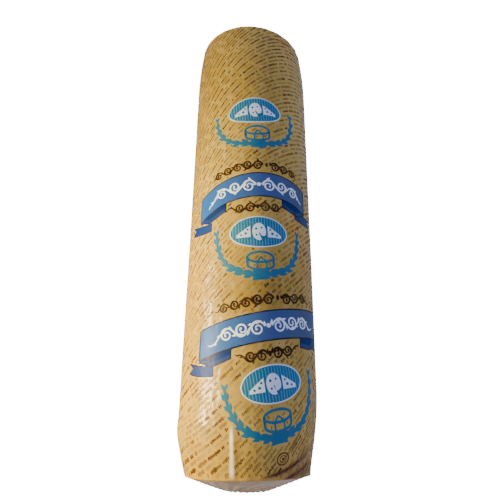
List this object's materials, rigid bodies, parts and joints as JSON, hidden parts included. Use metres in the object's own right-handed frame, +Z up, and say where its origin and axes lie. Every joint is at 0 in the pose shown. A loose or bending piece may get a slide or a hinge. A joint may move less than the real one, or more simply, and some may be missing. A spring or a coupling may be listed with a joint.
{
  "type": "provolone cheese log in film casing",
  "caption": "Long round cheese log in a tight glossy printed film casing, lying on its side, with pleated film gathered into a dimple at each end.",
  "frame": {"origin": "on the surface the log lies on, under the middle of its length", "axes": "+Y along the log from the near end to the far end, +Z up, the printed side facing up"},
  "size_m": [0.1104, 0.4228, 0.1078],
  "materials": {
    "film_casing": "tight glossy printed film over smoked yellow cheese"
  },
  "bodies": {
    "root": {"cheese_log": "film_casing"}
  },
  "joints": []
}
